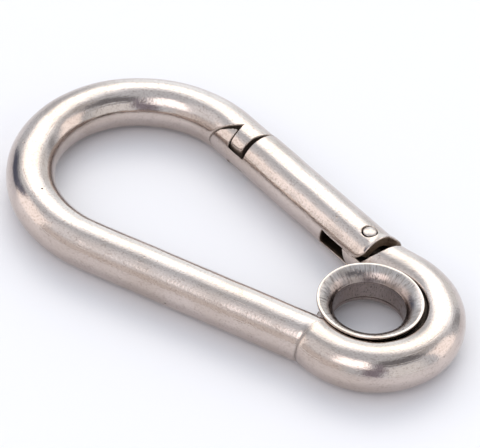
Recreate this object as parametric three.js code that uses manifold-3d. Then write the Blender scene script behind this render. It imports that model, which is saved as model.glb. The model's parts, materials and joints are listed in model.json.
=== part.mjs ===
// Spring snap hook with a captive eyelet, nominal size 10 x 100.
// Millimetres. The hook lies flat: +Z is through its thickness, +X runs from
// the bow to the eye, and the gate is on the +Y side.
import * as THREE from 'three';
import { mergeVertices } from 'three/addons/utils/BufferGeometryUtils.js';
import Module from 'manifold-3d';

const wasm = await Module();
wasm.setup();

// ---- Driving dimensions ------------------------------------------------------
const LENGTH = 100; // over bow and eye
const BAR_R = 4.75; // round bar of the hook
const BOW_R = 22.25; // bow, to the bar's centre line
const EYE_R = 13.1; // eye, to the bar's centre line
const TAPER = THREE.MathUtils.degToRad(11.3); // spine and gate lean this much towards the eye
const FLOOR_TO_MID = 4.95; // the rivet heads stand a little proud of the bar

const GATE_R = 4.9;
const PIVOT_FROM_EYE = 14.15; // along the gate, from the point abreast of the eye's centre
const BORE_R = 2.9; // spring bore in the gate
const BORE_END = -26; // bottom of the bore, from the pivot
const SLOT_HALF = 2.05; // slot that straddles the tang
const SLOT_END = -8.75;

const TANG_HALF = 1.75;
const TANG_END = -2.75;
const SHOULDER_R = 5.2; // hollow shoulder round the pivot
const EAR_R = 4.75; // rounded corner of the gate's ears

const PIN_R = 1.2;
const PIN_GAP = 0.3;
const HEAD_R = 1.5;
const SPOT_FACE_R = 1.8;
const SPOT_FACE_Z = 4.25;

const EYELET_SHIFT = [-0.33, -0.27]; // the loose eyelet rests against one side of the eye
const SEAT_R = 10.75;
const SEAT_DEPTH_Z = 3.3;

const PLUNGER_R = 2.55;
const PLUNGER_HEAD = 3;
const PLUNGER_TAIL_R = 1.3;
const PLUNGER_TAIL = 4;
const PLAY = 0.3;

const WIRE_R = 0.45;
const SPRING_R = 2.1; // to the wire's centre
const SPRING_TURNS = 10;

// ---- Derived places ----------------------------------------------------------
const bowX = -LENGTH / 2 + BOW_R + BAR_R;
const eyeX = LENGTH / 2 - EYE_R - BAR_R;
const sin = Math.sin(TAPER);
const cos = Math.cos(TAPER);
const barToEye = BOW_R - (eyeX - bowX) * sin; // gate or spine line to the eye's centre
const pivot = new THREE.Vector2(
  eyeX + barToEye * sin - PIVOT_FROM_EYE * cos,
  barToEye * cos + PIVOT_FROM_EYE * sin,
);
const bowTangent = PIVOT_FROM_EYE - (eyeX - bowX) * cos; // where bow meets gate line, from the pivot

// The gate frame has its origin on the pivot, +X along the gate towards the eye
// and +Y outwards. Everything at the gate is drawn in it.
const gateToHook = new THREE.Matrix4()
  .makeRotationZ(-TAPER)
  .setPosition(pivot.x, pivot.y, 0);

// ---- Helpers -----------------------------------------------------------------
function solid(geometry) {
  let plain = geometry.clone();
  plain.deleteAttribute('normal');
  plain.deleteAttribute('uv');
  plain = mergeVertices(plain, 1e-4);
  return new wasm.Manifold(new wasm.Mesh({
    numProp: 3,
    vertProperties: new Float32Array(plain.attributes.position.array),
    triVerts: new Uint32Array(plain.index.array),
  }));
}

function geometryOf(manifold) {
  const mesh = manifold.getMesh();
  const geometry = new THREE.BufferGeometry();
  geometry.setAttribute('position', new THREE.BufferAttribute(new Float32Array(mesh.vertProperties), 3));
  geometry.setIndex(new THREE.BufferAttribute(new Uint32Array(mesh.triVerts), 1));
  geometry.computeVertexNormals();
  return geometry;
}

function steelMesh(name, geometry, colour, roughness) {
  const material = new THREE.MeshStandardMaterial({ color: colour, roughness, metalness: 1 });
  const mesh = new THREE.Mesh(geometry, material);
  mesh.name = name;
  return mesh;
}

// A plan outline pushed through the thickness, from one height to another.
function prism(outline, low, high) {
  const geometry = new THREE.ExtrudeGeometry(outline, {
    depth: high - low,
    bevelEnabled: false,
    curveSegments: 16,
  });
  return geometry.translate(0, 0, low);
}

function polygon(points) {
  return new THREE.Shape(points.map(([x, y]) => new THREE.Vector2(x, y)));
}

// A round rod along X between two places.
function rodX(radius, from, to, sides = 32) {
  const geometry = new THREE.CylinderGeometry(radius, radius, to - from, sides);
  return geometry.rotateZ(-Math.PI / 2).translate((from + to) / 2, 0, 0);
}

// A round rod along Z, centred on the pivot or on a given place.
function rodZ(radius, low, high, sides = 28) {
  const geometry = new THREE.CylinderGeometry(radius, radius, high - low, sides);
  return geometry.rotateX(Math.PI / 2).translate(0, 0, (low + high) / 2);
}

// A solid turned about Z from a closed list of [radius, height] that comes down
// the outside.
function turned(profile, segments) {
  const points = profile.map(([r, z]) => new THREE.Vector2(r, z)).reverse();
  points.push(points[0].clone());
  return new THREE.LatheGeometry(points, segments).rotateX(Math.PI / 2);
}

// The lower half of a profile mirrors its upper half.
function mirrored(upper) {
  const lower = upper.map(([r, z]) => [r, -z]).reverse();
  return [...upper, ...lower];
}

// A round bar along a path. A full circle is drawn with two sides per segment.
function roundBar(path, steps, radius = BAR_R, sides = 24) {
  const section = new THREE.Shape();
  section.absarc(0, 0, radius, 0, Math.PI * 2, false);
  return new THREE.ExtrudeGeometry(section, {
    steps,
    extrudePath: path,
    curveSegments: sides / 2,
    bevelEnabled: false,
  });
}

// ---- Centre lines of the bent bar --------------------------------------------
class Polar extends THREE.Curve {
  constructor(centreX, radius, from, to) {
    super();
    Object.assign(this, { centreX, radius, from, to });
  }

  getPoint(t) {
    const angle = this.from + (this.to - this.from) * t;
    const x = this.centreX + this.radius * Math.cos(angle);
    return new THREE.Vector3(x, this.radius * Math.sin(angle), 0);
  }
}

function gatePoint(along, out) {
  return new THREE.Vector3(along, out, 0).applyMatrix4(gateToHook);
}

// Nose, bow and spine, ending inside the eye's bar where the two centre lines cross.
const NOSE_END = -32.6;
const crossing = -(Math.PI / 2 - TAPER) - Math.acos(barToEye / EYE_R);
const noseToSpine = new THREE.CurvePath();
const gateSide = Math.PI / 2 - TAPER;
const spineStart = new THREE.Vector3(bowX + BOW_R * sin, -BOW_R * cos, 0);
const spineEnd = new THREE.Vector3(
  eyeX + EYE_R * Math.cos(crossing),
  EYE_R * Math.sin(crossing),
  0,
);
noseToSpine.add(new THREE.LineCurve3(gatePoint(NOSE_END, 0), gatePoint(bowTangent, 0)));
noseToSpine.add(new Polar(bowX, BOW_R, gateSide, 2 * Math.PI - gateSide));
noseToSpine.add(new THREE.LineCurve3(spineStart, spineEnd));

// Eye, easing from its circle on to the gate line and running out to the tang's end.
const EASE_FROM = THREE.MathUtils.degToRad(84);
const EASE_TO = 4;
const EASE_PULL = 4;
const eyeArc = new Polar(eyeX, EYE_R, crossing, EASE_FROM);
const easeStart = eyeArc.getPoint(1);
const easeHeading = new THREE.Vector3(-Math.sin(EASE_FROM), Math.cos(EASE_FROM), 0);
const eyeToTang = new THREE.CurvePath();
eyeToTang.add(eyeArc);
eyeToTang.add(new THREE.CubicBezierCurve3(
  easeStart,
  easeStart.clone().addScaledVector(easeHeading, EASE_PULL),
  gatePoint(EASE_TO + EASE_PULL, 0),
  gatePoint(EASE_TO, 0),
));
eyeToTang.add(new THREE.LineCurve3(gatePoint(EASE_TO, 0), gatePoint(TANG_END, 0)));

// ---- Hook body ---------------------------------------------------------------
const LUG_TIP = -3.7; // how far in the nose's lug reaches
const LUG_BACK = -37.05; // the face that the gate's claw pulls against
const MARGIN = 7; // cutters run this far past the metal

// What is cut from the nose so that the claw can lie behind the lug.
const noseCut = polygon([
  [-43.3, -MARGIN],
  [-43.2, -4.75],
  [-40.85, -2.85],
  [-39.35, -1.65],
  [-37.75, -0.2],
  [-37.2, -1.5],
  [LUG_BACK, LUG_TIP],
  [NOSE_END + 1, LUG_TIP],
  [NOSE_END + 1, -MARGIN],
]);

// Above and below the tang, the bar stops at a hollow shoulder round the pivot.
function shoulderCut() {
  const outline = new THREE.Shape();
  outline.moveTo(-MARGIN, -MARGIN);
  outline.lineTo(0, -MARGIN);
  outline.lineTo(0, -SHOULDER_R);
  outline.absarc(0, 0, SHOULDER_R, -Math.PI / 2, 0, false);
  outline.lineTo(4.9, 2);
  outline.lineTo(4.2, MARGIN);
  outline.lineTo(-MARGIN, MARGIN);
  return outline;
}

// On its outer edge the tang is cut back to turn inside the gate's bore.
const tangBackCut = polygon([
  [TANG_END - 1, 0.5],
  [TANG_END, 0.5],
  [-2.2, 0.95],
  [-1.45, 1.45],
  [0, 2.05],
  [3.6, 2.05],
  [4.4, 3.2],
  [4.2, MARGIN],
  [TANG_END - 1, MARGIN],
]);

// The eye is bored, and opened out above and below for the eyelet's lips.
const eyeSeat = turned([
  [0, MARGIN],
  [SEAT_R, MARGIN],
  [SEAT_R, SEAT_DEPTH_Z],
  [9.3, 2.5],
  [8.6, 1.2],
  [EYE_R - BAR_R, 0],
  [8.6, -1.2],
  [9.3, -2.5],
  [SEAT_R, -SEAT_DEPTH_Z],
  [SEAT_R, -MARGIN],
  [0, -MARGIN],
], 48).translate(eyeX, 0, 0);

function hookBody() {
  const inGateFrame = [
    prism(noseCut, -MARGIN, MARGIN),
    prism(shoulderCut(), TANG_HALF, MARGIN),
    prism(shoulderCut(), -MARGIN, -TANG_HALF),
    prism(tangBackCut, -MARGIN, MARGIN),
    rodZ(PIN_R + PIN_GAP, -MARGIN, MARGIN),
  ];
  const knuckle = new THREE.SphereGeometry(BAR_R, 24, 16).translate(spineEnd.x, spineEnd.y, 0);
  let body = solid(roundBar(noseToSpine, 52)).add(solid(roundBar(eyeToTang, 34)));
  body = body.add(solid(knuckle));
  body = body.subtract(solid(eyeSeat));
  for (const cutter of inGateFrame) {
    body = body.subtract(solid(cutter.applyMatrix4(gateToHook)));
  }
  return geometryOf(body);
}

// ---- Gate --------------------------------------------------------------------
const NOTCH_FLOOR = -4.2;
const NOTCH_END = -31.75;
const EAR_END = 2.75;
const EAR_TIP = 3.65;

// Plan outline of the gate: claw and notch at the nose, ears at the pivot.
function gateOutline() {
  const outline = new THREE.Shape();
  outline.moveTo(-42.4, -MARGIN);
  outline.lineTo(-42.9, -4.75);
  outline.lineTo(-42.6, -4.4);
  outline.lineTo(-40.5, -3.3);
  outline.lineTo(-39, -2.25);
  outline.lineTo(-37.8, -1.2);
  outline.lineTo(-37.5, -1.7);
  outline.lineTo(-37.35, NOTCH_FLOOR);
  outline.lineTo(NOTCH_END, NOTCH_FLOOR);
  outline.lineTo(NOTCH_END, MARGIN);
  outline.lineTo(EAR_TIP, MARGIN);
  outline.lineTo(EAR_TIP, 4.3);
  outline.lineTo(3.1, 3.3);
  outline.lineTo(EAR_END, 2.2);
  outline.absarc(0, 0, EAR_R, -Math.acos(EAR_END / EAR_R), -Math.PI / 2, true);
  outline.lineTo(-1.5, -GATE_R - 0.1);
  outline.lineTo(-1.5, -MARGIN);
  return outline;
}

function gate() {
  const slot = polygon([
    [SLOT_END, -MARGIN],
    [MARGIN, -MARGIN],
    [MARGIN, 0],
    [SLOT_END, 0],
  ]);
  const cutters = [
    rodX(BORE_R, BORE_END, MARGIN),
    prism(slot, -SLOT_HALF, SLOT_HALF),
    rodZ(PIN_R + PIN_GAP, -MARGIN, MARGIN),
    rodZ(SPOT_FACE_R, SPOT_FACE_Z, MARGIN),
    rodZ(SPOT_FACE_R, -MARGIN, -SPOT_FACE_Z),
  ];
  let body = solid(rodX(GATE_R, -43, EAR_TIP, 36));
  body = body.intersect(solid(prism(gateOutline(), -MARGIN, MARGIN)));
  for (const cutter of cutters) {
    body = body.subtract(solid(cutter));
  }
  return geometryOf(body);
}

// ---- Rivet, plunger, spring --------------------------------------------------
// The shank's ends are closed up into low domed heads in the gate's spot faces.
function rivet() {
  const headLow = SPOT_FACE_Z + 0.15;
  const top = FLOOR_TO_MID;
  const upper = [
    [0, top],
    [0.55, top - 0.03],
    [1.05, top - 0.13],
    [HEAD_R, headLow + 0.15],
    [HEAD_R, headLow],
    [PIN_R, headLow],
  ];
  return turned(mirrored(upper), 24);
}

function plunger() {
  const face = TANG_END - PLAY;
  const shoulder = face - PLUNGER_HEAD;
  const tailEnd = shoulder - PLUNGER_TAIL;
  const profile = [
    [0, face],
    [PLUNGER_R - 0.4, face],
    [PLUNGER_R, face - 0.4],
    [PLUNGER_R, shoulder],
    [PLUNGER_TAIL_R, shoulder],
    [PLUNGER_TAIL_R, tailEnd + 0.3],
    [PLUNGER_TAIL_R - 0.3, tailEnd],
    [0, tailEnd],
  ];
  return turned(profile, 24).rotateY(Math.PI / 2);
}

class Helix extends THREE.Curve {
  constructor(radius, turns, from, to) {
    super();
    Object.assign(this, { radius, turns, from, to });
  }

  getPoint(t) {
    const angle = this.turns * 2 * Math.PI * t;
    const x = this.from + (this.to - this.from) * t;
    return new THREE.Vector3(x, this.radius * Math.cos(angle), this.radius * Math.sin(angle));
  }
}

function spring() {
  const front = TANG_END - 2 * PLAY - PLUNGER_HEAD - WIRE_R;
  const back = BORE_END + PLAY + WIRE_R;
  const helix = new Helix(SPRING_R, SPRING_TURNS, front, back);
  return roundBar(helix, SPRING_TURNS * 12, WIRE_R, 6);
}

// ---- Eyelet ------------------------------------------------------------------
const THROAT_R = 7;
const THROAT_OUT_R = 7.6;
const LIP_R = 10.05;
const LIP_TOP = 4.45;
const LIP_FLAT_R = 9.4; // the lip is flat from here out to its rounded edge

// A short tube with its ends flared over the seats in the eye.
function eyelet() {
  const upper = [
    [THROAT_R, 2.1],
    [7.25, 2.75],
    [7.8, 3.4],
    [8.6, 4],
    [LIP_FLAT_R, LIP_TOP],
    [LIP_R - 0.15, LIP_TOP],
    [LIP_R, LIP_TOP - 0.15],
    [LIP_R, 3.8],
    [9.6, 3.5],
    [8.75, 2.9],
    [8.05, 2.2],
    [THROAT_OUT_R, 1.2],
  ];
  return turned(mirrored(upper), 48);
}

// ---- Assembly ----------------------------------------------------------------
const gateGroup = new THREE.Group();
gateGroup.position.set(pivot.x, pivot.y, 0);
gateGroup.rotation.z = -TAPER;
gateGroup.add(steelMesh('gate', gate(), 0xc9c2ba, 0.2));
gateGroup.add(steelMesh('gate_rivet', rivet(), 0xd6d0c8, 0.18));
gateGroup.add(steelMesh('spring_plunger', plunger(), 0xa89a8c, 0.35));
gateGroup.add(steelMesh('gate_spring', spring(), 0xa08b78, 0.35));

const eyeletMesh = steelMesh('eyelet', eyelet(), 0xcbc5be, 0.28);
eyeletMesh.position.set(eyeX + EYELET_SHIFT[0], EYELET_SHIFT[1], 0);

const hook = new THREE.Group();
hook.position.z = FLOOR_TO_MID;
hook.add(steelMesh('hook_body', hookBody(), 0xccc5bd, 0.2));
hook.add(gateGroup);
hook.add(eyeletMesh);

const part = new THREE.Group();
part.add(hook);
export default part;
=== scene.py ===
import json
import math

import bpy
import numpy as np
from mathutils import Matrix, Vector


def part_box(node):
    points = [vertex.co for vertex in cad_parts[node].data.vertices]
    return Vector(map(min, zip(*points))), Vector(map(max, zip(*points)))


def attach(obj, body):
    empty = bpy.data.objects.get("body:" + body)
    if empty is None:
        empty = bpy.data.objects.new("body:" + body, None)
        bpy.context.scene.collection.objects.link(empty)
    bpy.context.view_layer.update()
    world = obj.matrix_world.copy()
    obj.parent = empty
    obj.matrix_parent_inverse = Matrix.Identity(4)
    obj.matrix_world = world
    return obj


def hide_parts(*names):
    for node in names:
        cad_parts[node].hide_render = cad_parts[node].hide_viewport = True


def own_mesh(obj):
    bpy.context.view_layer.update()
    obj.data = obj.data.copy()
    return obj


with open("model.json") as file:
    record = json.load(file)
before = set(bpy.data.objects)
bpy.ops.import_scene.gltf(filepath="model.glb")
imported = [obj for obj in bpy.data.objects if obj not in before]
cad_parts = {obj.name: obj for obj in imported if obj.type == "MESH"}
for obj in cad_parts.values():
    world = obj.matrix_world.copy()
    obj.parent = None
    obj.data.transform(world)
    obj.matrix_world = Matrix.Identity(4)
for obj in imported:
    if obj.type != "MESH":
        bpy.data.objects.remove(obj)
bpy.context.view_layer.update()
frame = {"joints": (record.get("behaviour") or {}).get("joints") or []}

# Everything is drawn in millimetres and turned into metres when a mesh is made.
MM = 0.001

# ---- Sizes -------------------------------------------------------------------
BAR_R = 4.75  # round bar of the hook
BOW_R = 22.25  # bow and eye, to the bar's centre line
EYE_R = 13.1
GATE_R = 4.9
BORE_R = 2.9  # spring bore in the gate
BORE_END = -26.0
MILL_Z = -0.5  # the slot and the tang lie this far off the bar's middle
SLOT_HALF = 1.88  # slot that straddles the tang
SLOT_END = -8.4
TANG_HALF = 1.62
TANG_END = -2.75
SHOULDER_R = 5.35
EAR_R = 4.75
PIN_R = 1.2
PIN_HOLE_R = 1.5
HEAD_R = 1.33
SPOT_FACE_R = 1.54
SPOT_FACE_Z = 4.6
SPOT_FACE_U, SPOT_FACE_T = -0.04, -0.14
NOSE_END = -32.6
EASE_FROM = 84.0  # degrees round the eye, where its bar starts to ease on to the gate line
EASE_TO = 4.0
EDGE = 0.12  # rounding of most machined edges, and of the sharper, blunter and bluntest ones
SHARP_EDGE = 0.1
BLUNT_EDGE = 0.15
FILED_EDGE = 0.25
MARGIN = 7.0  # cuts run this far past the metal

# ---- Places, from the frame --------------------------------------------------
joints = {joint["name"]: joint for joint in frame["joints"]}
pivot_x, pivot_y, mid_z = (value / MM for value in joints["gate_swing"]["pos_m"])
lip_x, lip_y, _ = (value / MM for value in joints["eyelet_spin"]["pos_m"])
taper_cos, taper_sin = -joints["plunger_slide"]["axis"][0], joints["plunger_slide"]["axis"][1]
hook_low, hook_high = (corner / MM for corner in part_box("hook_body"))
bow_x = hook_low.x + BOW_R + BAR_R
eye_x = hook_high.x - EYE_R - BAR_R


# The gate frame has its origin on the pivot, u along the gate towards the eye
# and t outwards. The hook is drawn in it, so that the nose and the tang are square
# to the grid that the surface is drawn on.
def to_gate(x, y):
    dx, dy = x - pivot_x, y - pivot_y
    return dx * taper_cos - dy * taper_sin, dx * taper_sin + dy * taper_cos


def from_gate(u, t):
    return (
        pivot_x + u * taper_cos + t * taper_sin,
        pivot_y - u * taper_sin + t * taper_cos,
    )


bow_u = to_gate(bow_x, 0.0)[0]  # the bow meets the gate line, and the spine's, at this u
eye_off = -to_gate(eye_x, 0.0)[1]  # from either line to the eye's centre
crossing = -(math.acos(taper_sin) + math.acos(eye_off / EYE_R))  # round the eye, where the spine meets it
cross_u = to_gate(
    eye_x + EYE_R * math.cos(crossing), -EYE_R * math.sin(crossing)
)[0]
ease_from = math.radians(EASE_FROM)
ease_u, ease_t = to_gate(
    eye_x + EYE_R * math.cos(ease_from), EYE_R * math.sin(ease_from)
)
ease_slope = math.tan(ease_from + math.asin(taper_sin) - math.pi / 2)


# ---- Solids as signed distances ----------------------------------------------
# A field gives the distance from a surface, in mm, below zero inside the metal.
def round_and(a, b, radius):
    """What lies in both, with the edge between them rounded."""
    corner = np.hypot(np.maximum(a + radius, 0), np.maximum(b + radius, 0))
    return np.minimum(np.maximum(a, b), -radius) + corner


def round_or(a, b, radius):
    """What lies in either, with the corner between them filled."""
    return -round_and(-a, -b, radius)


def polygon(points, a, b):
    """Signed distance from a closed outline, where that is less than MARGIN."""
    low, high = np.min(points, 0) - MARGIN, np.max(points, 0) + MARGIN
    near = (a > low[0]) & (a < high[0]) & (b > low[1]) & (b < high[1])
    result = np.full(a.shape, MARGIN)
    a, b = a[near], b[near]
    nearest = np.full(a.shape, np.inf)
    inside = np.zeros(a.shape, bool)
    for (a0, b0), (a1, b1) in zip(points, points[1:] + points[:1]):
        along, across = a1 - a0, b1 - b0
        da, db = a - a0, b - b0
        share = np.clip((da * along + db * across) / (along**2 + across**2), 0, 1)
        nearest = np.minimum(nearest, (da - share * along) ** 2 + (db - share * across) ** 2)
        if across:
            inside ^= ((b0 > b) != (b1 > b)) & (da < db * along / across)
    result[near] = np.where(inside, -1, 1) * np.sqrt(nearest)
    return result


def arc_points(radius, start, end, count):
    """Points round the origin, from one angle to another, in degrees."""
    angles = np.radians(np.linspace(start, end, count))
    return [(radius * math.cos(angle), radius * math.sin(angle)) for angle in angles]


# ---- Hook body ---------------------------------------------------------------
NOSE_CUT = [
    (-42.2, -MARGIN),
    (-42.1, -4.8),
    (-41.66, -4.45),
    (-40.3, -3.3),
    (-38.8, -1.8),
    (-37.3, -0.4),
    (-36.9, -1.75),
    (-36.75, -3),
    (-36.6, -4),
    (-35, -4.1),
    (-33.6, -4),
    (-33.3, -3.7),
    (-33.2, -1.5),
    (-32.5, 2.4),
    (-32.1, MARGIN),
    (-20, MARGIN),
    (-20, -MARGIN),
]
SHOULDER_CUT = [
    (-MARGIN, -MARGIN),
    (0, -MARGIN),
    *arc_points(SHOULDER_R, -90, -8, 12),
    (5.55, 1.3),
    (5.7, 3),
    (5.7, MARGIN),
    (-MARGIN, MARGIN),
]
TANG_BACK_CUT = [
    (TANG_END - 1, 0.5),
    (TANG_END, 0.5),
    (-2.2, 0.95),
    (-1.45, 1.45),
    (0, 2.05),
    (4.2, 2.05),
    (5.4, 3.2),
    (5.6, MARGIN),
    (TANG_END - 1, MARGIN),
]
TANG_END_CUT = [(-12, -MARGIN), (TANG_END, -MARGIN), (TANG_END, MARGIN), (-12, MARGIN)]
SEAT_Z = [0, 1.2, 2.5, 3.1]  # the eye's bore by height off its middle
SEAT_R = [EYE_R - BAR_R, 8.6, 9.3, 10]
RECESS_R = 10.4  # round hollow that the eyelet's lip lies in, and its middle from the lip's
RECESS_X, RECESS_Y = 0.54, 0.17
RECESS_Z = 3.2
CREASE_R = 0.15  # where the spine runs into the eye
GROOVE_DEPTH = 0.12  # line in the skin along that crease
GROOVE_HALF = 0.12
TANG_LEAN = 0.35  # the tang's end leans back on its inner side, more so lower down
TANG_LEAN_SLOPE = 0.39
TANG_LEAN_TOP = 1.2


def nose_to_spine(u, t):
    """Along the bar from nose to spine, and outwards from its centre line, in plan."""
    x, y = from_gate(u, t)
    mirror_u, mirror_t = to_gate(x, -y)
    polar = np.hypot(x - bow_x, y)
    turn = np.arctan2(-(x - bow_x) * taper_cos + y * taper_sin, (x - bow_x) * taper_sin + y * taper_cos)
    turn = np.where(turn < 0, turn + 2 * math.pi, turn)
    upper = y >= 0
    line_u = np.where(upper, u, mirror_u)
    line_t = np.where(upper, t, mirror_t)
    end = np.where(upper, NOSE_END, cross_u)
    straight = line_u > bow_u
    bow_length = BOW_R * (math.pi + 2 * math.asin(taper_sin))
    along = np.where(
        straight,
        np.where(upper, line_u - bow_u, bow_u - line_u - bow_length),
        -BOW_R * turn,
    )
    outward = np.where(straight, line_t, polar - BOW_R)
    past = np.where(straight, np.maximum(line_u - end, 0), 0)
    return along, outward, np.hypot(outward, past)


def eye_to_tang(u, t):
    """The same for the bar from the crossing round the eye to the tang's end."""
    x, y = from_gate(u, t)
    polar = np.hypot(x - eye_x, y)
    angle = np.arctan2(y, x - eye_x)
    off_start = np.hypot(x - eye_x - EYE_R * math.cos(crossing), y - EYE_R * math.sin(crossing))
    on_eye = (angle >= crossing) & (angle <= ease_from)
    eye = np.where(on_eye, np.abs(polar - EYE_R), off_start)
    share = np.clip((u - EASE_TO) / (ease_u - EASE_TO), 0, 1)
    span = ease_u - EASE_TO
    line_t = ease_t * share**2 * (3 - 2 * share) + ease_slope * span * share**2 * (share - 1)
    steep = 6 * ease_t / span * share * (1 - share) + ease_slope * share * (3 * share - 2)
    line_off = (t - line_t) / np.hypot(1, steep)
    past = np.maximum(np.maximum(u - ease_u, TANG_END - 1 - u), 0)
    line = np.hypot(line_off, past)
    on_line = line < eye
    along = 200 + np.where(on_line, EYE_R * ease_from + ease_u - u, EYE_R * angle)
    outward = np.where(on_line, line_off, polar - EYE_R)
    return along, outward, np.where(on_line, line, eye)


def waviness(along, outward, z):
    """Shallow waves left by bending and polishing."""
    return 0.012 * (
        np.sin(0.31 * along + 0.5 * z)
        + np.sin(0.53 * along - 0.33 * outward + 1.3)
        + 0.6 * np.sin(0.97 * along + 0.7 * outward + 0.4 * z)
    )


def bar_surface(u, t, z):
    """The bent bar before anything is cut from it."""
    along_a, out_a, plan_a = nose_to_spine(u, t)
    along_b, out_b, plan_b = eye_to_tang(u, t)
    bar_a = np.hypot(plan_a, z) - BAR_R + waviness(along_a, out_a, z)
    bar_b = np.hypot(plan_b, z) - BAR_R + waviness(along_b, out_b, z)
    groove = GROOVE_DEPTH * seam(out_a, out_b, bar_a - bar_b)
    return round_or(bar_a, bar_b, CREASE_R * np.clip(out_a / BAR_R, 0, 1)) + groove


def seam(out_a, out_b, difference):
    """How near a point is to the line where the spine's skin runs into the eye's."""
    outer_side = np.clip(1.6 * np.minimum(out_a, out_b) / BAR_R, 0, 1)
    return outer_side * np.exp(-((difference / GROOVE_HALF) ** 2))


def hook_field(u, t, z):
    result = bar_surface(u, t, z)
    live = result < 1
    u, t, z, body = u[live], t[live], z[live], result[live]
    x, y = from_gate(u, t)
    seat_slope = np.where(np.abs(z) > 2.5, 1.5, 1.1)
    seat = (np.hypot(x - eye_x, y) - np.interp(np.abs(z), SEAT_Z, SEAT_R)) / seat_slope
    body = round_and(body, -seat, EDGE)
    recess = np.hypot(x - lip_x - RECESS_X, y - lip_y - RECESS_Y) - RECESS_R
    body = round_and(body, -np.maximum(recess, RECESS_Z - np.abs(z)), EDGE)
    body = round_and(body, -polygon(NOSE_CUT, u, t), SHARP_EDGE)
    shoulder = np.maximum(polygon(SHOULDER_CUT, u, t), TANG_HALF - np.abs(z - MILL_Z))
    body = round_and(body, -shoulder, BLUNT_EDGE)
    body = round_and(body, -polygon(TANG_BACK_CUT, u, t), FILED_EDGE)
    inner = np.clip((-t - 2) / 1.5, 0, 1)
    lean = inner * (TANG_LEAN + TANG_LEAN_SLOPE * np.clip(TANG_LEAN_TOP - z, 0, 4))
    body = round_and(body, -polygon(TANG_END_CUT, u - lean, t), BLUNT_EDGE)
    body = round_and(body, PIN_HOLE_R - np.hypot(u, t), SHARP_EDGE)
    result[live] = body
    return result


def hook_grain(u, t, z):
    """Place in the bar as it was before it was bent: along, outwards, up."""
    along_a, out_a, plan_a = nose_to_spine(u, t)
    along_b, out_b, plan_b = eye_to_tang(u, t)
    first = plan_a < plan_b
    return np.where(first, along_a, along_b), np.where(first, out_a, out_b), z


# ---- Gate --------------------------------------------------------------------
EAR_END = 3.0
BURR = 0.25
TIP_END = -42.1  # the claw's tip, which is rounded off towards its top and bottom
TIP_ROUND = 0.14
SLOT_END_SLANT = 0.15
GATE_OUTLINE = [
    (-42.6, -MARGIN),
    (-42.4, -4.95),
    (-41.5, -4.65),
    (-40.7, -4.05),
    (-39.4, -3.3),
    (-38.2, -2.55),
    (-37.05, -1.85),
    (-36.9, -3),
    (-36.75, -4.45),
    (-34.4, -4.58),
    (-32.3, -4.55),
    (-32.1, -4.3),
    (-32.1, MARGIN),
    (4.2, MARGIN),
    (4.2, 3.3),
    (3.85, 2.8),
    (EAR_END, 2.1),
    *arc_points(EAR_R, -math.degrees(math.acos(EAR_END / EAR_R)), -90, 10),
    (-1.5, -GATE_R - 0.1),
    (-1.5, -MARGIN),
]


def gate_rod(u, t, z):
    """The round bar, which stands up in a small burr at the upper ear's end."""
    burr = BURR * np.clip((u - 1.6) / 1.4, 0, 1) ** 2 * np.clip(z / 2, 0, 1)
    return np.hypot(t, z) - GATE_R - burr + waviness(u, t, z)


def gate_field(u, t, z):
    result = gate_rod(u, t, z)
    live = result < 1
    u, t, z, body = u[live], t[live], z[live], result[live]
    at_ears = np.clip((u + 9) / 4, 0, 1)
    body = round_and(body, polygon(GATE_OUTLINE, u, t), EDGE + 0.06 * at_ears)
    body = round_and(body, TIP_END + TIP_ROUND * z**2 - u, EDGE)
    corner = 0.35 * np.clip(u - 0.6, 0, 4) ** 2 * np.clip(-t - 2.8, 0, 1)
    slot_half = SLOT_HALF + corner - 0.1 * np.clip(u + 8, 0, 2)
    sides = np.abs(z - MILL_Z) - slot_half
    slot = np.maximum(np.maximum(sides, SLOT_END + SLOT_END_SLANT * z - u), t)
    body = round_and(body, -slot / 1.2, EDGE)
    bore = np.maximum(np.hypot(t, z) - BORE_R, BORE_END - u)
    body = round_and(body, -bore, EDGE)
    across = np.hypot(u, t)
    body = round_and(body, PIN_HOLE_R - across, SHARP_EDGE)
    from_spot = np.hypot(u - SPOT_FACE_U, t - SPOT_FACE_T)
    spot_face = np.maximum(from_spot - SPOT_FACE_R, SPOT_FACE_Z - np.abs(z))
    result[live] = round_and(body, -spot_face, SHARP_EDGE)
    return result


# ---- Meshes ------------------------------------------------------------------
def slope(field, points, step=0.01):
    """The field and its gradient at some points."""
    legs = np.array([(1, 1, 1), (1, -1, -1), (-1, 1, -1), (-1, -1, 1)]) * step
    total = 0.0
    gradient = np.zeros_like(points)
    for leg in legs:
        value = field(*(points + leg).T)
        total = total + value / 4
        gradient += value[:, None] * leg / (4 * step**2)
    return total, gradient


def settle(field, points, rounds):
    """Moves points on to the surface, by Newton's steps."""
    for _ in range(rounds):
        value, gradient = slope(field, points)
        steep = np.maximum((gradient**2).sum(1), 0.2)
        points = points - np.clip(value / steep, -0.2, 0.2)[:, None] * gradient
    return points


def cell_points(values, axes, cells):
    """In each cell that the surface crosses, the middle of the crossings of its edges."""
    total = np.zeros((len(cells), 3))
    count = np.zeros(len(cells))
    for axis in range(3):
        for side_a in (0, 1):
            for side_b in (0, 1):
                start = cells + np.insert([side_a, side_b], axis, 0)
                end = start + np.eye(3, dtype=int)[axis]
                first, last = values[tuple(start.T)], values[tuple(end.T)]
                crossed = (first < 0) != (last < 0)
                share = np.where(crossed, first / np.where(crossed, first - last, 1), 0)
                low = np.stack([axes[i][start[:, i]] for i in range(3)], 1)
                low[:, axis] += share * (axes[axis][end[:, axis]] - low[:, axis])
                total += low * crossed[:, None]
                count += crossed
    return total / count[:, None]


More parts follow.
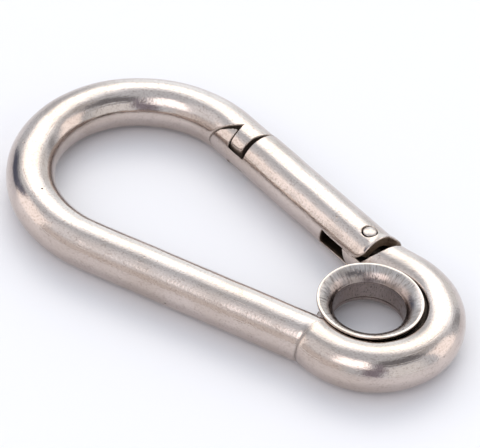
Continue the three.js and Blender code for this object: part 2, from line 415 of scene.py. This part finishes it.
def surface_net(field, axes):
    """Points and four-sided faces of the surface of a field, on a grid of places."""
    values = field(*np.meshgrid(*axes, indexing="ij"))
    inside = values < 0
    corners = np.zeros([len(axis) - 1 for axis in axes], np.uint8)
    for corner in np.ndindex(2, 2, 2):
        part = tuple(slice(i, i + size) for i, size in zip(corner, corners.shape))
        corners += inside[part]
    crossed = (corners > 0) & (corners < 8)
    number = np.full(crossed.shape, -1)
    number[crossed] = np.arange(crossed.sum())
    points = cell_points(values, axes, np.argwhere(crossed))
    faces = []
    for axis in range(3):
        b, c = (axis + 1) % 3, (axis + 2) % 3
        along = np.moveaxis(inside, axis, 0)
        edges = np.argwhere(along[:-1] != along[1:])
        start = np.insert(edges[:, 1:], axis, edges[:, 0], axis=1)
        ring = []
        for back_b, back_c in ((1, 1), (0, 1), (0, 0), (1, 0)):
            cell = start.copy()
            cell[:, b] -= back_b
            cell[:, c] -= back_c
            ring.append(number[tuple(cell.T)])
        ring = np.stack(ring, 1)
        outward = inside[tuple(start.T)]
        faces.append(np.where(outward[:, None], ring, ring[:, ::-1]))
    return points, np.concatenate(faces)


def spread(points, faces):
    """Each point goes to the middle of the faces round it, which evens out the net."""
    centres = points[faces].mean(1)
    corners = faces.ravel()
    count = np.bincount(corners, minlength=len(points))
    total = [
        np.bincount(corners, np.repeat(centres[:, i], 4), len(points)) for i in range(3)
    ]
    return np.stack(total, 1) / count[:, None]


def steps(*stretches):
    """Places along one axis, from (start, end, step) stretches that follow on."""
    places = [
        np.linspace(start, end, max(2, round((end - start) / step) + 1))
        for start, end, step in stretches
    ]
    return np.unique(np.concatenate(places).round(6))


def to_frame(points):
    """From the gate frame in millimetres to the part's frame in metres."""
    x, y = from_gate(points[:, 0], points[:, 1])
    return np.stack([x, y, points[:, 2] + mid_z], 1) * MM


def make_piece(name, points, faces, attributes, normals=None):
    """A smooth piece with values at its points that its material reads."""
    mesh = bpy.data.meshes.new(name)
    mesh.from_pydata(points.tolist(), [], faces if isinstance(faces, list) else faces.tolist())
    mesh.validate()
    for key, values in attributes.items():
        if values.ndim == 2:
            layer = mesh.attributes.new(key, "FLOAT_VECTOR", "POINT")
            layer.data.foreach_set("vector", values.astype(np.float32).ravel())
        else:
            layer = mesh.attributes.new(key, "FLOAT", "POINT")
            layer.data.foreach_set("value", values.astype(np.float32))
    mesh.shade_smooth()
    if normals is not None:
        mesh.normals_split_custom_set_from_vertices(normals.tolist())
    piece = bpy.data.objects.new(name, mesh)
    bpy.context.scene.collection.objects.link(piece)
    return piece


def carved(name, field, axes, uncut, grain, paint_shade):
    """A piece from its field, with its cut faces marked by how deep they lie in the bar."""
    points, faces = surface_net(field, axes)
    for _ in range(3):
        points = settle(field, spread(points, faces), 1)
    points = settle(field, points, 2)
    normals = slope(field, points)[1]
    normals /= np.linalg.norm(normals, axis=1)[:, None]
    frame_normals = np.stack(
        [
            normals[:, 0] * taper_cos + normals[:, 1] * taper_sin,
            normals[:, 1] * taper_cos - normals[:, 0] * taper_sin,
            normals[:, 2],
        ],
        1,
    )
    depth = -uncut(*points.T)
    attributes = {
        "grain": np.stack(grain(*points.T), 1),
        "cut": np.clip((depth - 0.06) / 0.2, 0, 1),
        # painted shade in the gaps between parts and along the crease, for the material to darken
        "painted_shade": paint_shade(*points.T, depth),
    }
    return make_piece(name, to_frame(points), faces, attributes, frame_normals)


def softened(outline, radius, closed=True, count=5):
    """An outline with its corners rounded and its long sides divided."""
    corners = [Vector(point) for point in outline]
    befores, afters = corners[-1:] + corners[:-1], corners[1:] + corners[:1]
    result = []
    for index, (before, corner, after) in enumerate(zip(befores, corners, afters)):
        if not closed and index in (0, len(corners) - 1):
            result.append(corner)
            continue
        back, ahead = before - corner, after - corner
        start = corner + back * min(radius / back.length, 0.45)
        end = corner + ahead * min(radius / ahead.length, 0.45)
        for share in np.linspace(0, 1, count):
            result.append(start.lerp(corner, share).lerp(corner.lerp(end, share), share))
    divided = []
    for here, there in zip(result, result[1:] + result[:1]):
        if not closed and there is result[0]:
            divided.append(here)
            break
        parts = max(1, math.ceil((there - here).length / 0.35))
        divided += [here.lerp(there, part / parts) for part in range(parts)]
    return np.array(divided)


def turned(name, profile, segments, place, closed=True):
    """A piece turned about Z from an outline of (radius, height). An open outline
    starts and ends on the axis. place puts the points in the part."""
    radius, height = profile.T
    area = np.sum(radius * np.roll(height, -1) - np.roll(radius, -1) * height)
    if area < 0:
        radius, height = radius[::-1], height[::-1]
    poles = [] if closed else [(0, 0, height[0]), (0, 0, height[-1])]
    if not closed:
        radius, height = radius[1:-1], height[1:-1]
    size = len(radius)
    angles = np.linspace(0, 2 * math.pi, segments, endpoint=False)
    rings = np.stack(
        [
            np.outer(np.cos(angles), radius),
            np.outer(np.sin(angles), radius),
            np.tile(height, (segments, 1)),
        ],
        2,
    ).reshape(-1, 3)
    points = np.array([*rings.tolist(), *poles])
    faces = []
    for turn in range(segments):
        here, there = turn * size, (turn + 1) % segments * size
        for i in range(size if closed else size - 1):
            after = (i + 1) % size
            faces.append((here + i, there + i, there + after, here + after))
        if not closed:
            faces.append((len(rings), there, here))
            faces.append((len(rings) + 1, here + size - 1, there + size - 1))
    return make_piece(name, place(points), faces, {"grain": points})


def mirrored(upper):
    """A profile down the outside whose lower half mirrors its upper half."""
    return upper + [(radius, -height) for radius, height in reversed(upper)]


def curve(start, pull, end, count):
    """Points of a quadratic curve, without its end."""
    start, pull, end = Vector(start), Vector(pull), Vector(end)
    shares = np.linspace(0, 1, count, endpoint=False)
    return [tuple(start.lerp(pull, share).lerp(pull.lerp(end, share), share)) for share in shares]


def in_gate(points):
    """A turned piece that stands on the pivot, along Z."""
    return to_frame(points)


def along_gate(points):
    """A turned piece that lies along the gate, with its heights as places along u."""
    return to_frame(points[:, [2, 0, 1]])


NOSE_SHADE = 0.6  # painted shade on the nose joint's faces is weaker, as they show when the gate opens and aren't quite black


def painted_shade_on_hook(u, t, z, depth):
    """Painted shade: black in the gaps by the gate and the eyelet's lip, and a darker line along the
    crease.
    """
    x, y = from_gate(u, t)
    at_lip = np.hypot(x - lip_x, y - lip_y) - 10
    by_gate = np.clip((2 - gate_field(u, t, z)) / 0.8, 0, 1) * np.clip((depth - 0.15) / 0.3, 0, 1)
    by_lip = np.clip((2 - at_lip) / 0.8, 0, 1) * np.clip((depth - 0.2) / 0.25, 0, 1)
    narrow = np.maximum(by_gate * np.where(u < NOSE_END + 2, NOSE_SHADE, 1), by_lip)
    along_a, out_a, plan_a = nose_to_spine(u, t)
    along_b, out_b, plan_b = eye_to_tang(u, t)
    return np.maximum(narrow, 0.5 * seam(out_a, out_b, np.hypot(plan_a, z) - np.hypot(plan_b, z)))


def painted_shade_on_gate(u, t, z, depth):
    """Painted shade: black in the nose joint, in the slot and low on the ears' ends, and a painted shadow
    line round the claw's tip.
    """
    inside = np.clip((depth - 0.15) / 0.6, 0, 1)
    low = np.interp(u, [1.2, 2], [1, 0]) + np.clip((2.3 - np.abs(z)) / 0.4, 0, 1)
    # painted shadow line along the edge of the claw's tip
    tip = np.clip((-40.3 - u) / 0.3, 0, 1) * np.clip((polygon(GATE_OUTLINE, u, t) + 0.32) / 0.15, 0, 1)
    dark = np.where(u < NOSE_END + 2, NOSE_SHADE, 0.93)
    return np.maximum(dark * inside * np.clip(low, 0, 1), 0.5 * tip)


# ---- The pieces --------------------------------------------------------------
FINE, MIDDLE, COARSE = 0.178, 0.31, 0.54

hook = carved(
    "hook_body_bar",
    hook_field,
    (
        steps(
            (-67.6, -43, COARSE),
            (-43, -31.5, FINE),
            (-31.5, -4.5, COARSE),
            (-4.5, 7, FINE),
            (7, 25, MIDDLE),
            (25, 33, COARSE),
        ),
        steps((-50.2, -32, COARSE), (-32, -6, MIDDLE), (-6, 7.4, FINE)),
        steps((-5.2, 5.2, 0.27)),
    ),
    bar_surface,
    hook_grain,
    painted_shade_on_hook,
)
gate = carved(
    "gate_bar",
    gate_field,
    (steps((-44, 4.6, 0.19)), steps((-5.6, 5.6, 0.19)), steps((-5.6, 5.6, 0.19))),
    gate_rod,
    lambda u, t, z: (u, t, z),
    painted_shade_on_gate,
)

head_low = SPOT_FACE_Z + 0.03
rivet_top = mid_z
rivet_upper = [
    (0, rivet_top),
    (0.6, rivet_top - 0.04),
    (1.0, rivet_top - 0.12),
    (1.22, rivet_top - 0.2),
    (HEAD_R, rivet_top - 0.28),
    (HEAD_R - 0.03, head_low),
    (PIN_R, head_low),
]
rivet_profile = softened(mirrored(rivet_upper), 0.1, closed=False)
rivet = turned("gate_rivet_pin", rivet_profile, 64, in_gate, closed=False)

PLUNGER_R = 2.55
PLUNGER_TAIL_R = 1.3
plunger_face = TANG_END - 0.3
plunger_shoulder = plunger_face - 3
plunger_end = plunger_shoulder - 4
plunger_profile = [
    (0, plunger_face),
    (PLUNGER_R - 0.4, plunger_face),
    (PLUNGER_R, plunger_face - 0.4),
    (PLUNGER_R, plunger_shoulder),
    (PLUNGER_TAIL_R, plunger_shoulder),
    (PLUNGER_TAIL_R, plunger_end + 0.3),
    (PLUNGER_TAIL_R - 0.3, plunger_end),
    (0, plunger_end),
]
plunger_profile = softened(plunger_profile, 0.12, closed=False)
plunger = turned("spring_plunger_pin", plunger_profile, 64, along_gate, closed=False)

WIRE_R = 0.45
SPRING_R = 2.1
SPRING_TURNS = 10
spring_front = plunger_shoulder - 0.3 - WIRE_R
spring_back = BORE_END + 0.3 + WIRE_R


def coil():
    """The spring, with its last turn at each end wound close."""
    sides, per_turn = 14, 40
    turns = np.linspace(0, SPRING_TURNS, SPRING_TURNS * per_turn + 1)
    close = 2.1 * WIRE_R
    travel = np.interp(
        turns,
        [0, 1, SPRING_TURNS - 1, SPRING_TURNS],
        [spring_front, spring_front - close, spring_back + close, spring_back],
    )
    angle = turns * 2 * math.pi
    radial = np.stack([np.zeros_like(angle), np.cos(angle), np.sin(angle)], 1)
    centre = radial * SPRING_R
    centre[:, 0] = travel
    heading = np.gradient(centre, axis=0)
    heading /= np.linalg.norm(heading, axis=1)[:, None]
    side = np.cross(heading, radial)
    rings = [
        centre + WIRE_R * (math.cos(a) * radial + math.sin(a) * side)
        for a in np.linspace(0, 2 * math.pi, sides, endpoint=False)
    ]
    points = np.stack(rings, 1).reshape(-1, 3)
    faces = [
        (
            i * sides + j,
            i * sides + (j + 1) % sides,
            (i + 1) * sides + (j + 1) % sides,
            (i + 1) * sides + j,
        )
        for i in range(len(turns) - 1)
        for j in range(sides)
    ]
    last = (len(turns) - 1) * sides
    faces += [tuple(reversed(range(sides))), tuple(range(last, last + sides))]
    return make_piece("gate_spring_coil", to_frame(points), faces, {"grain": points})


spring = coil()

THROAT_R = 7.0
THROAT_EDGE_Z = 2.45  # a faint edge where the flare runs into the throat
BEAD_R = 6.9  # the throat is a little tighter just below that edge
LIP_R = 10.05
LIP_TOP = 4.45
eyelet_upper = [
    *curve((9.62, LIP_TOP), (7.8, 3.8), (THROAT_R + 0.05, THROAT_EDGE_Z), 12),
    (THROAT_R + 0.05, THROAT_EDGE_Z),
    (BEAD_R, 2.25),
    (BEAD_R, 1.75),
    (THROAT_R, 1.5),
]
eyelet_outside = [
    (7.6, 0),
    *curve((7.6, 1.2), (7.85, 2.5), (9.5, 3.5), 8),
    (9.75, 3.52),
    (LIP_R - 0.03, 3.72),
    (LIP_R + 0.02, 4.1),
    (LIP_R - 0.02, LIP_TOP - 0.08),
    (LIP_R - 0.1, LIP_TOP),
]
eyelet_half = eyelet_outside + eyelet_upper
eyelet_outline = eyelet_half + [(r, -z) for r, z in reversed(eyelet_half[1:])]


def at_lip(points):
    """The eyelet, about its own axis, with its lips a little out of true."""
    angle = np.arctan2(points[:, 1], points[:, 0])
    flare = np.clip((np.abs(points[:, 2]) - 1.5) / 3, 0, 1)
    wobble = 0.035 * np.sin(2 * angle + 0.7) + 0.02 * np.sin(5 * angle) + 0.012 * np.sin(9 * angle + 2)
    moved = points * (1 + (wobble * flare / LIP_R)[:, None] * [1, 1, 0.6])
    return (moved + [lip_x, lip_y, mid_z]) * MM


eyelet = turned("eyelet_thimble", softened(eyelet_outline, 0.09), 256, at_lip)


# ---- Materials ---------------------------------------------------------------
class Shader:
    """A material's or the world's nodes, made in the order they are read."""

    def __init__(self, tree):
        self.tree = tree
        tree.nodes.clear()

    def node(self, kind, settings=(), **inputs):
        made = self.tree.nodes.new("ShaderNode" + kind)
        for key, value in dict(settings).items():
            setattr(made, key, value)
        for key, value in inputs.items():
            name = key.replace("_", " ")
            socket = made.inputs[int(name[1:])] if name[1:].isdigit() else made.inputs[name]
            if isinstance(value, bpy.types.NodeSocket):
                self.tree.links.new(value, socket)
            else:
                socket.default_value = value
        return made

    def math(self, operation, a, b=0.0, c=0.0):
        return self.node("Math", {"operation": operation}, i0=a, i1=b, i2=c).outputs[0]

    def fade(self, value, start, end):
        """From 0 to 1 as a value goes from start to end, eased."""
        settings = {"interpolation_type": "SMOOTHSTEP"}
        return self.node("MapRange", settings, Value=value, From_Min=start, From_Max=end).outputs[0]

    def scaled(self, vector, scale):
        return self.node("Mapping", Vector=vector, Scale=scale).outputs[0]

    def noise(self, vector, scale, size=1.0, detail=2.0, roughness=0.5, distortion=0.0):
        return self.node(
            "TexNoise",
            Vector=self.scaled(vector, scale),
            Scale=1 / size,
            Detail=detail,
            Roughness=roughness,
            Distortion=distortion,
        ).outputs[0]

    def mix(self, share, a, b):
        mixer = self.node("Mix", {"data_type": "RGBA"}, Factor=share)
        for socket, value in ((mixer.inputs[6], a), (mixer.inputs[7], b)):
            if isinstance(value, bpy.types.NodeSocket):
                self.tree.links.new(value, socket)
            else:
                socket.default_value = (*value, 1)
        return mixer.outputs[2]

    def between(self, share, a, b):
        """A number from a to b as share goes from 0 to 1."""
        return self.node("MapRange", Value=share, To_Min=a, To_Max=b).outputs[0]


def steel(name, bright, warm, rough, lines, pits, cut_tint=(0.30, 0.235, 0.185), cut_rough=0.5):
    """Polished stainless bar: lines along it, speckle, pits, scratches, duller cut faces, and painted
    shade in the gaps.
    bright and warm are its two tints, rough its roughness from and to, lines and pits their strength."""
    material = bpy.data.materials.new(name)
    material.use_nodes = True
    shader = Shader(material.node_tree)
    grain = shader.node("Attribute", {"attribute_name": "grain"}).outputs["Vector"]
    cut = shader.node("Attribute", {"attribute_name": "cut"}).outputs["Fac"]
    painted_shade = shader.node("Attribute", {"attribute_name": "painted_shade"}).outputs["Fac"]

    cloud = shader.noise(grain, (0.6, 1, 1), size=9, detail=3, roughness=0.6)
    mottle = shader.noise(grain, (0.8, 1, 1), size=1.3, detail=4, roughness=0.6)
    speckle = shader.noise(grain, (0.8, 1, 1), size=0.33, detail=2, roughness=0.6)
    polish = shader.noise(grain, (0.12, 1, 1), size=0.45, detail=3, roughness=0.6)
    buffing = shader.noise(grain, (1, 0.15, 0.15), size=0.5, detail=2)

    cells = shader.node("TexVoronoi", {"feature": "F1"}, Vector=grain, Scale=0.45)
    parts = shader.node("SeparateColor", Color=cells.outputs["Color"]).outputs
    size = shader.between(parts[1], 0.06, 0.16)
    hole = shader.math("SUBTRACT", 1, shader.fade(cells.outputs["Distance"], 0.0, size))
    pit = shader.math("MULTIPLY", shader.math("MULTIPLY", hole, shader.fade(parts[0], 0.7, 0.78)), pits)

    streak = shader.noise(grain, (0.05, 1, 1), size=0.5, detail=1)
    scratch = shader.math("MULTIPLY", shader.fade(streak, 0.62, 0.7), shader.fade(cloud, 0.4, 0.6))
    grit = shader.math("MULTIPLY", shader.fade(speckle, 0.45, 0.72), shader.fade(mottle, 0.25, 0.65))

    sawn = shader.noise(grain, (0.8, 1, 2), size=0.7, detail=4, roughness=0.75)
    tint = shader.mix(shader.fade(cloud, 0.35, 0.7), bright, warm)
    tint = shader.mix(shader.math("MULTIPLY", grit, 0.45), tint, (0.3, 0.22, 0.18))
    dull = shader.mix(shader.fade(sawn, 0.3, 0.7), cut_tint, tuple(1.6 * value for value in cut_tint))
    tint = shader.mix(cut, tint, dull)
    # painted shade: near black where the gap mask is set, in the gaps and along the crease
    tint = shader.mix(painted_shade, tint, (0.018, 0.013, 0.011))
    tint = shader.mix(pit, tint, (0.1, 0.06, 0.04))

    patchy = shader.math("MULTIPLY_ADD", mottle, 0.6, shader.math("MULTIPLY", polish, 0.4))
    roughness = shader.between(patchy, rough[0], rough[1])
    roughness = shader.math("ADD", roughness, shader.math("MULTIPLY", scratch, 0.1))
    roughness = shader.math("MAXIMUM", roughness, shader.math("MULTIPLY", cut, cut_rough))
    roughness = shader.math("MAXIMUM", roughness, shader.math("MULTIPLY", painted_shade, 0.8))
    roughness = shader.math("MAXIMUM", roughness, shader.math("MULTIPLY", pit, 0.7))

    height = shader.math("MULTIPLY", polish, 0.011 * lines)
    for texture, depth in (
        (buffing, 0.008 * lines),
        (mottle, 0.016),
        (speckle, 0.018),
        (scratch, -0.008),
        (pit, -0.08),
        (shader.math("MULTIPLY", cut, sawn), 0.3),
    ):
        height = shader.math("ADD", height, shader.math("MULTIPLY", texture, depth))
    bump = shader.node("Bump", Strength=1.0, Distance=MM, Height=height)

    bsdf = shader.node(
        "BsdfPrincipled",
        Base_Color=tint,
        Metallic=1.0,
        Roughness=roughness,
        Normal=bump.outputs[0],
    )
    shader.node("OutputMaterial", Surface=bsdf.outputs[0])
    return material


def turned_steel(name, bright, warm, rough, streaks):
    """Steel polished across its turning: streaks run out from the axis and down its bore, and painted
    shade darkens it towards the throat.
    """
    material = bpy.data.materials.new(name)
    material.use_nodes = True
    shader = Shader(material.node_tree)
    grain = shader.node("Attribute", {"attribute_name": "grain"}).outputs["Vector"]
    parts = shader.node("SeparateXYZ", Vector=grain)
    flat = shader.node("CombineXYZ", X=parts.outputs[0], Y=parts.outputs[1])
    round_axis = shader.node("VectorMath", {"operation": "NORMALIZE"}, i0=flat.outputs[0]).outputs[0]
    ray = shader.node("SeparateXYZ", Vector=round_axis)
    slow = shader.math("MULTIPLY", parts.outputs[2], 0.02)
    spoke = shader.node("CombineXYZ", X=ray.outputs[0], Y=ray.outputs[1], Z=slow).outputs[0]

    fine = shader.noise(spoke, (1, 1, 1), size=0.024, detail=3, roughness=0.7)
    broad = shader.noise(spoke, (1, 1, 1), size=0.22, detail=2)
    deep = shader.fade(shader.noise(spoke, (1, 1, 2), size=0.028, detail=2), 0.6, 0.68)
    cloud = shader.noise(grain, (1, 1, 1), size=4, detail=3)
    speckle = shader.noise(grain, (1, 1, 1), size=0.35, detail=3, roughness=0.6)
    across = shader.node("VectorMath", {"operation": "LENGTH"}, i0=flat.outputs[0]).outputs["Value"]
    inside = shader.fade(across, 8.8, 7.1)
    streaks = shader.math("MULTIPLY", shader.fade(across, 9.65, 9.5), streaks)

    tint = shader.mix(shader.fade(cloud, 0.35, 0.65), bright, warm)
    # painted shade: the tint darkens towards and down the throat
    tint = shader.mix(shader.between(inside, 0.1, 0.75), tint, (0.26, 0.2, 0.18))
    dark = shader.math("MULTIPLY", shader.math("MULTIPLY", deep, 0.55), streaks)
    tint = shader.mix(dark, tint, (0.1, 0.075, 0.065))
    dark = shader.math("MULTIPLY", shader.math("MULTIPLY", shader.fade(fine, 0.42, 0.7), 0.4), streaks)
    tint = shader.mix(dark, tint, (0.16, 0.12, 0.11))
    patchy = shader.math("ADD", shader.math("MULTIPLY", fine, 0.5), shader.math("MULTIPLY", broad, 0.5))
    roughness = shader.between(patchy, rough[0], rough[1])
    height = shader.math("MULTIPLY", fine, 0.03)
    for texture, depth in ((broad, 0.12), (deep, -0.03)):
        height = shader.math("ADD", height, shader.math("MULTIPLY", texture, depth))
    height = shader.math("MULTIPLY", height, streaks)
    height = shader.math("ADD", height, shader.math("MULTIPLY", speckle, 0.005))
    bump = shader.node("Bump", Strength=1.0, Distance=MM, Height=height)
    bsdf = shader.node(
        "BsdfPrincipled",
        Base_Color=tint,
        Metallic=1.0,
        Roughness=roughness,
        Normal=bump.outputs[0],
    )
    shader.node("OutputMaterial", Surface=bsdf.outputs[0])
    return material


BRIGHT = (0.625, 0.54, 0.495)
WARM = (0.555, 0.468, 0.415)
POLISHED = (0.07, 0.19)  # roughness of the bar and the gate, from and to
bar_steel = steel("bar_steel", BRIGHT, WARM, POLISHED, 1.0, 1.0)
gate_steel = steel("gate_bar_steel", BRIGHT, WARM, POLISHED, 1.2, 0.8, (0.19, 0.135, 0.095))
rivet_steel = steel("rivet_head_steel", BRIGHT, (0.4, 0.35, 0.32), (0.16, 0.28), 0.8, 0.3)
plunger_steel = turned_steel("plunger_turned_steel", (0.2, 0.14, 0.1), (0.14, 0.1, 0.07), (0.3, 0.5), 0.6)
spring_steel = steel("spring_wire_steel", (0.42, 0.33, 0.26), (0.3, 0.22, 0.16), (0.25, 0.45), 1.0, 1.0)
eyelet_steel = turned_steel(
    "eyelet_polished_steel", (0.62, 0.56, 0.53), (0.54, 0.475, 0.43), (0.1, 0.22), 1.0
)
finishes = {
    hook: ("hook_body", "body_steel", bar_steel),
    gate: ("gate", "gate_steel", gate_steel),
    rivet: ("gate", "rivet_steel", rivet_steel),
    plunger: ("plunger", "plunger_steel", plunger_steel),
    spring: ("plunger", "spring_steel", spring_steel),
    eyelet: ("eyelet", "eyelet_steel", eyelet_steel),
}
stands_for = {
    hook: "hook_body",
    gate: "gate",
    rivet: "gate_rivet",
    plunger: "spring_plunger",
    spring: "gate_spring",
    eyelet: "eyelet",
}
for piece, (body, slot, material) in finishes.items():
    piece.data.materials.append(material)
    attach(piece, body)
    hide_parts(stands_for[piece])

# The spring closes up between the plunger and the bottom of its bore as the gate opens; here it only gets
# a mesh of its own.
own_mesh(spring)

# ---- Studio ------------------------------------------------------------------
FLOOR_HALF = 3.0
floor_mesh = bpy.data.meshes.new("floor")
corner_signs = [(-1, -1), (1, -1), (1, 1), (-1, 1)]
corners = [(x * FLOOR_HALF, y * FLOOR_HALF, 0) for x, y in corner_signs]
floor_mesh.from_pydata(corners, [], [(0, 1, 2, 3)])
floor = bpy.data.objects.new("floor", floor_mesh)
bpy.context.scene.collection.objects.link(floor)
floor_material = bpy.data.materials.new("floor_white")
floor_material.use_nodes = True
floor_shader = floor_material.node_tree.nodes["Principled BSDF"]
floor_shader.inputs["Base Color"].default_value = (0.86, 0.85, 0.872, 1)
floor_shader.inputs["Specular IOR Level"].default_value = 0.2
floor_shader.inputs["Roughness"].default_value = 0.28
floor_mesh.materials.append(floor_material)

# Each panel of the room: its middle and half width round the horizon and above it, how
# softly its sides and its top and bottom fade, all in degrees, and its light.
PANELS = [
    ((-165, 45), (45, 18), (30, 20), (1.0, 1.05, 1.12)),
    ((-163, 12), (28, 14), (20, 16), (0.8, 0.77, 0.77)),
    ((-120, 4), (17, 32), (4, 12), (1.55, 1.5, 1.5)),
    ((-90, 8), (13, 14), (5, 14), (0.12, 0.14, 0.21)),
    ((-102, 21), (6, 10), (5, 10), (0.2, 0.22, 0.3)),
    ((-33, 12), (12, 24), (12, 16), (1.3, 1.45, 1.55)),
    ((-8, 12), (12, 18), (10, 12), (0.9, 0.96, 1.0)),
    ((16, 12), (6, 16), (8, 14), (0.41, 0.44, 0.48)),
    ((46, 14), (15, 26), (6, 14), (1.55, 1.5, 1.5)),
    ((100, 15), (22, 24), (20, 16), (0.98, 1.03, 1.07)),
    ((35, 56), (25, 8), (20, 10), (0.6, 0.62, 0.65)),
    ((90, 56), (34, 12), (16, 12), (0.24, 0.25, 0.28)),
    ((127, 38), (7, 20), (10, 14), (0.3, 0.28, 0.34)),
    ((138, 16), (11, 20), (10, 14), (0.3, 0.28, 0.34)),
    ((-35, 50), (50, 21), (34, 20), (1.55, 1.66, 1.76)),
    ((-38, 47), (36, 12), (26, 16), (2.8, 2.7, 2.56)),
    ((165, 48), (22, 15), (16, 14), (2.5, 2.4, 2.45)),
]
world = bpy.data.worlds.new("studio")
world.use_nodes = True
bpy.context.scene.world = world
sky = Shader(world.node_tree)
heading = sky.node("SeparateXYZ", Vector=sky.node("TexCoord").outputs["Generated"])
azimuth = sky.math("ARCTAN2", heading.outputs[0], heading.outputs[1])
height = sky.math("ARCSINE", heading.outputs[2])
colour = sky.mix(0.0, (0.70, 0.765, 0.84), (0, 0, 0))
for middle, half, soft, light in PANELS:
    away = sky.math("SUBTRACT", azimuth, math.radians(middle[0]))
    away = sky.math("ABSOLUTE", sky.math("WRAP", away, math.pi, -math.pi))
    up = sky.math("ABSOLUTE", sky.math("SUBTRACT", height, math.radians(middle[1])))
    share = 1.0
    for off, limit, fade in ((away, half[0], soft[0]), (up, half[1], soft[1])):
        edge = sky.fade(off, math.radians(limit + fade / 2), math.radians(limit - fade / 2))
        share = sky.math("MULTIPLY", edge, share)
    colour = sky.mix(share, colour, light)
sky.node("OutputWorld", Surface=sky.node("Background", Color=colour, Strength=1.0).outputs[0])

bpy.context.scene.view_settings.view_transform = "Standard"

# ---- Camera ------------------------------------------------------------------
CAMERA_AZIMUTH, CAMERA_ELEVATION, CAMERA_ROLL = (math.radians(value) for value in (35.56, 43.02, 5.61))
CAMERA_DISTANCE = 0.6593
TARGET = Vector((-1.574, 2.618, mid_z)) * MM
camera = bpy.data.objects.new("camera", bpy.data.cameras.new("camera"))
bpy.context.scene.collection.objects.link(camera)
camera.data.lens = 259.03
camera.data.sensor_width = 36
camera.data.clip_start = 0.01
back = Vector(
    (
        math.sin(CAMERA_AZIMUTH) * math.cos(CAMERA_ELEVATION),
        -math.cos(CAMERA_AZIMUTH) * math.cos(CAMERA_ELEVATION),
        math.sin(CAMERA_ELEVATION),
    )
)
turn = back.to_track_quat("Z", "Y").to_matrix() @ Matrix.Rotation(CAMERA_ROLL, 3, "Z")
camera.matrix_world = Matrix.Translation(TARGET + back * CAMERA_DISTANCE) @ turn.to_4x4()
bpy.context.scene.camera = camera
